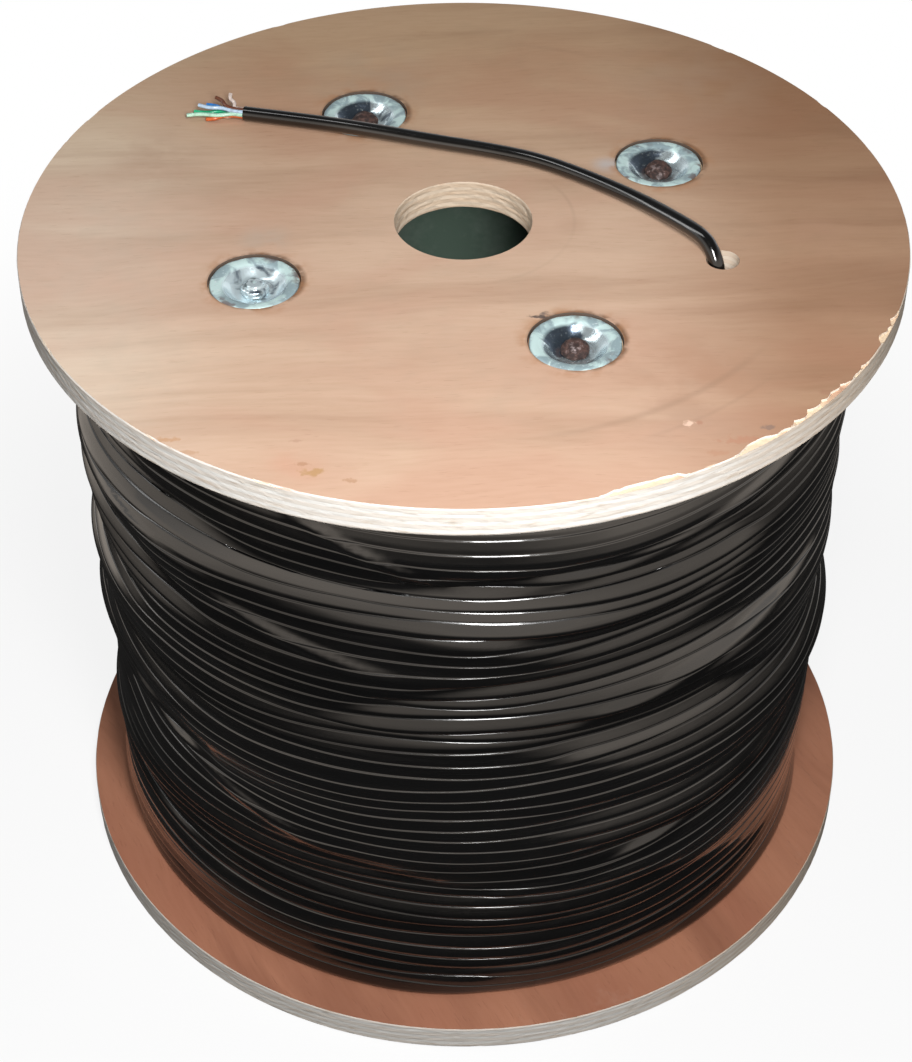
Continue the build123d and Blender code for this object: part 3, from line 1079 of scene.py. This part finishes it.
def wire_points(name):
    """One wire's control points: out of the jacket's end, then off its own way with a slight curl."""
    ring_angle, side_turn, rise, length = WIRES[name]
    tail = tail_points()
    heading = (tail[-1] - tail[-2]).normalized()
    side = Vector((0, 0, 1)).cross(heading).normalized()
    up = heading.cross(side)
    start = tail[-1] - side * (WIRE_RING_RADIUS * cos(radians(ring_angle)))
    start += up * (WIRE_RING_RADIUS * sin(radians(ring_angle)))
    bend = start + heading * WIRE_STRAIGHT
    level = cos(radians(rise))
    way = heading * (level * cos(radians(side_turn))) + side * (level * sin(radians(side_turn)))
    way += up * sin(radians(rise))
    across = way.cross(up).normalized()
    run = length * MM - WIRE_STRAIGHT
    curl = WIRE_CURL * (1 if ring_angle % 90 else -1)
    return [
        start,
        start + heading * (0.6 * WIRE_STRAIGHT),
        bend,
        bend + way * (0.35 * run) + across * curl,
        bend + way * (0.7 * run) - across * (0.6 * curl),
        bend + way * run + across * (0.3 * curl),
    ]

# Camera, lamps and floor


def add_camera():
    """The photograph's viewpoint."""
    data = bpy.data.cameras.new("camera")
    data.sensor_width = 36.0
    data.lens = CAMERA_LENS
    camera = new_object("camera", data)
    level = cos(CAMERA_TILT)
    forward = Vector((sin(CAMERA_YAW) * level, cos(CAMERA_YAW) * level, -sin(CAMERA_TILT)))
    right = forward.cross(Vector((0, 0, 1))).normalized()
    up = right.cross(forward)
    rolled_right = right * cos(CAMERA_ROLL) + up * sin(CAMERA_ROLL)
    rolled_up = up * cos(CAMERA_ROLL) - right * sin(CAMERA_ROLL)
    turn = Matrix((rolled_right, rolled_up, -forward)).transposed().to_4x4()
    camera.matrix_world = Matrix.Translation(CAMERA_PLACE) @ turn
    bpy.context.scene.camera = camera


def add_lamp(name, place, aim, width, height, power):
    """A soft rectangular lamp that points at its aim."""
    data = bpy.data.lights.new(name, "AREA")
    data.shape = "RECTANGLE"
    data.size = width
    data.size_y = height
    data.energy = power
    lamp = new_object(name, data)
    lamp.location = place
    lamp.rotation_euler = (Vector(aim) - Vector(place)).to_track_quat("-Z", "Y").to_euler()


def background_share(tree):
    """1 on rays that see the background, straight or in a reflection, and 0 on rays that light things."""
    path = node(tree, "ShaderNodeLightPath").outputs
    seen = calculate("ADD", path["Is Camera Ray"], path["Is Glossy Ray"])
    return calculate("ADD", seen, path["Is Transmission Ray"], clamp=True)


def add_floor():
    """A pale floor that fades to white away from the drum and keeps its shadow."""
    bm = bmesh.new()
    bmesh.ops.create_circle(bm, cap_ends=True, segments=96, radius=6.0)
    floor = new_object("floor", to_mesh(moved(bm, (0, 0, -0.2 * MM)), "floor"))
    material, shader, place = new_material("pale_floor", Roughness=0.9, Specular_IOR_Level=0.1)
    # The camera sees a pale floor. It throws back less light than that, so the drum's sides keep depth.
    tree = shader.id_data
    path = node(tree, "ShaderNodeLightPath").outputs
    shade = blend(path["Is Camera Ray"], (0.035, 0.034, 0.033), (0.86, 0.86, 0.86))
    set_sockets(shader, Base_Color=shade)
    reach = vector_length(place)
    fade = plus(0.86, times(between(reach, 0.22, 0.6), 0.14))
    near_white = times(path["Is Camera Ray"], fade)
    seen_far = times(between(reach, 0.7, 1.5), background_share(tree))
    # Reflections show it dark beside the drum and brighter further off
    ramp = times(minus(reach, 0.42), 1.7, clamp=True)
    mirrored = times(calculate("MINIMUM", ramp, 0.85), path["Is Glossy Ray"])
    white_share = larger(near_white, larger(seen_far, mirrored))
    glow = blend(path["Is Glossy Ray"], (1, 1, 1), (1.0, 0.89, 0.78))
    white = node(tree, "ShaderNodeEmission", {"Color": glow, "Strength": 1.0})
    mixed = node(tree, "ShaderNodeMixShader", {0: white_share, 1: shader.outputs[0], 2: white.outputs[0]})
    set_sockets(tree.nodes["Material Output"], Surface=mixed.outputs[0])
    floor.data.materials.append(material)


def add_world(fill):
    """A white background, and a weaker fill light from all round."""
    world = bpy.data.worlds.new("studio")
    world.use_nodes = True
    bpy.context.scene.world = world
    tree = world.node_tree
    # Reflections show a room that is warm and bright at eye level in front, and dim overhead and behind
    way = axes(node(tree, "ShaderNodeTexCoord").outputs["Generated"])
    front = between(times(way["Y"], -1.0), -0.3, 0.5)
    low = minus(1.0, between(way["Z"], 0.30, 0.75))
    lit = plus(0.10, times(plus(0.35, times(front, 0.50)), low))
    reflected = node(tree, "ShaderNodeLightPath").outputs["Is Glossy Ray"]
    dimmed = minus(1.0, times(reflected, minus(1.0, lit)))
    seen = background_share(tree)
    rest = times(minus(1.0, seen), fill)
    glow = blend(times(reflected, front), (1, 1, 1), (1.0, 0.90, 0.80))
    background = tree.nodes["Background"]
    set_sockets(background, Strength=plus(times(seen, dimmed), rest), Color=glow)


add_camera()
add_world(WORLD_FILL)
add_floor()
for lamp_name, lamp_values in LAMPS.items():
    add_lamp(lamp_name, *lamp_values)
bpy.context.scene.view_settings.view_transform = "Standard"

# The cable's start and its wires
jacket_smooth = jacket(
    "jacket_start",
    run_scale=(300.0, 300.0, 300.0),
    crease_scale=(70.0, 70.0, 70.0),
    band_scale=(12.0, 12.0, 12.0),
    polish=0.12,
    relief=0.08 * MM,
    gloss=0.625,
)
for wire_name, (wire_colour, stripe_colour) in INSULATION.items():
    coat = [insulation(f"insulation_{wire_name}", wire_colour, stripe_colour)]
    curve = smooth_curve(f"conductor_{wire_name}", wire_points(wire_name), WIRE_RADIUS, WIRE_SIDES)
    add_piece(curve, f"conductor_{wire_name}", coat, f"insulation_{wire_name}", f"wire_{wire_name}")
tail = add_piece(
    smooth_curve("cable_start", tail_points(), CABLE_RADIUS, CABLE_SIDES),
    "cable_start",
    [jacket_smooth],
    "cable_jacket",
    "cable_tail",
)

# The wound cable
jacket_wound = jacket(
    "jacket_wound",
    run_scale=(12.0, 12.0, 260.0),
    crease_scale=(45.0, 45.0, 90.0),
    band_scale=(4.0, 4.0, 45.0),
    polish=0.22,
    relief=0.30 * MM,
    gloss=0.62,
)
add_piece(make_winding(), "cable_turns", [jacket_wound], "cable_jacket", "cable_winding")

# Flanges
plywood = [outer_veneer(), inner_veneer(), ply_edge()]
add_piece(make_flange("top_plywood", True, 3.0), "top_plywood", plywood, "plywood", "flange_top")
add_piece(make_flange("bottom_plywood", False, 40.0), "bottom_plywood", plywood, "plywood", "flange_bottom")

# Washers
zinc = zinc_plate("zinc_plate", plating=0.50, shine=0.60, shade=0.40)
whole_zinc = zinc_plate("zinc_plate_whole", plating=0.62, shine=0.35, shade=0.10)
for number in range(1, 5):
    for side in ("top", "bottom"):
        washer_node = f"washer_{side}_{number}"
        plate = whole_zinc if number == 3 else zinc
        dish = make_washer(washer_node, side == "top")
        add_piece(dish, f"{washer_node}_dish", [plate], "zinc_plate", washer_node)

# Nuts: three have rusted, and the front left one kept its plating
rust = rusty_steel()
for number in range(1, 5):
    coat = whole_zinc if number == 3 else rust
    add_piece(make_nut(number), f"nut_{number}", [coat], "rusty_steel", f"bolt_nut_{number}")

# The barrel and the bolts keep their CAD shape
finishes = {"barrel": barrel_board()}
for number in range(1, 5):
    finishes[f"tie_bolt_{number}"] = rust
for node_name, finish in finishes.items():
    for slot in frame["nodes"][node_name].material_slots:
        slot.material = finish
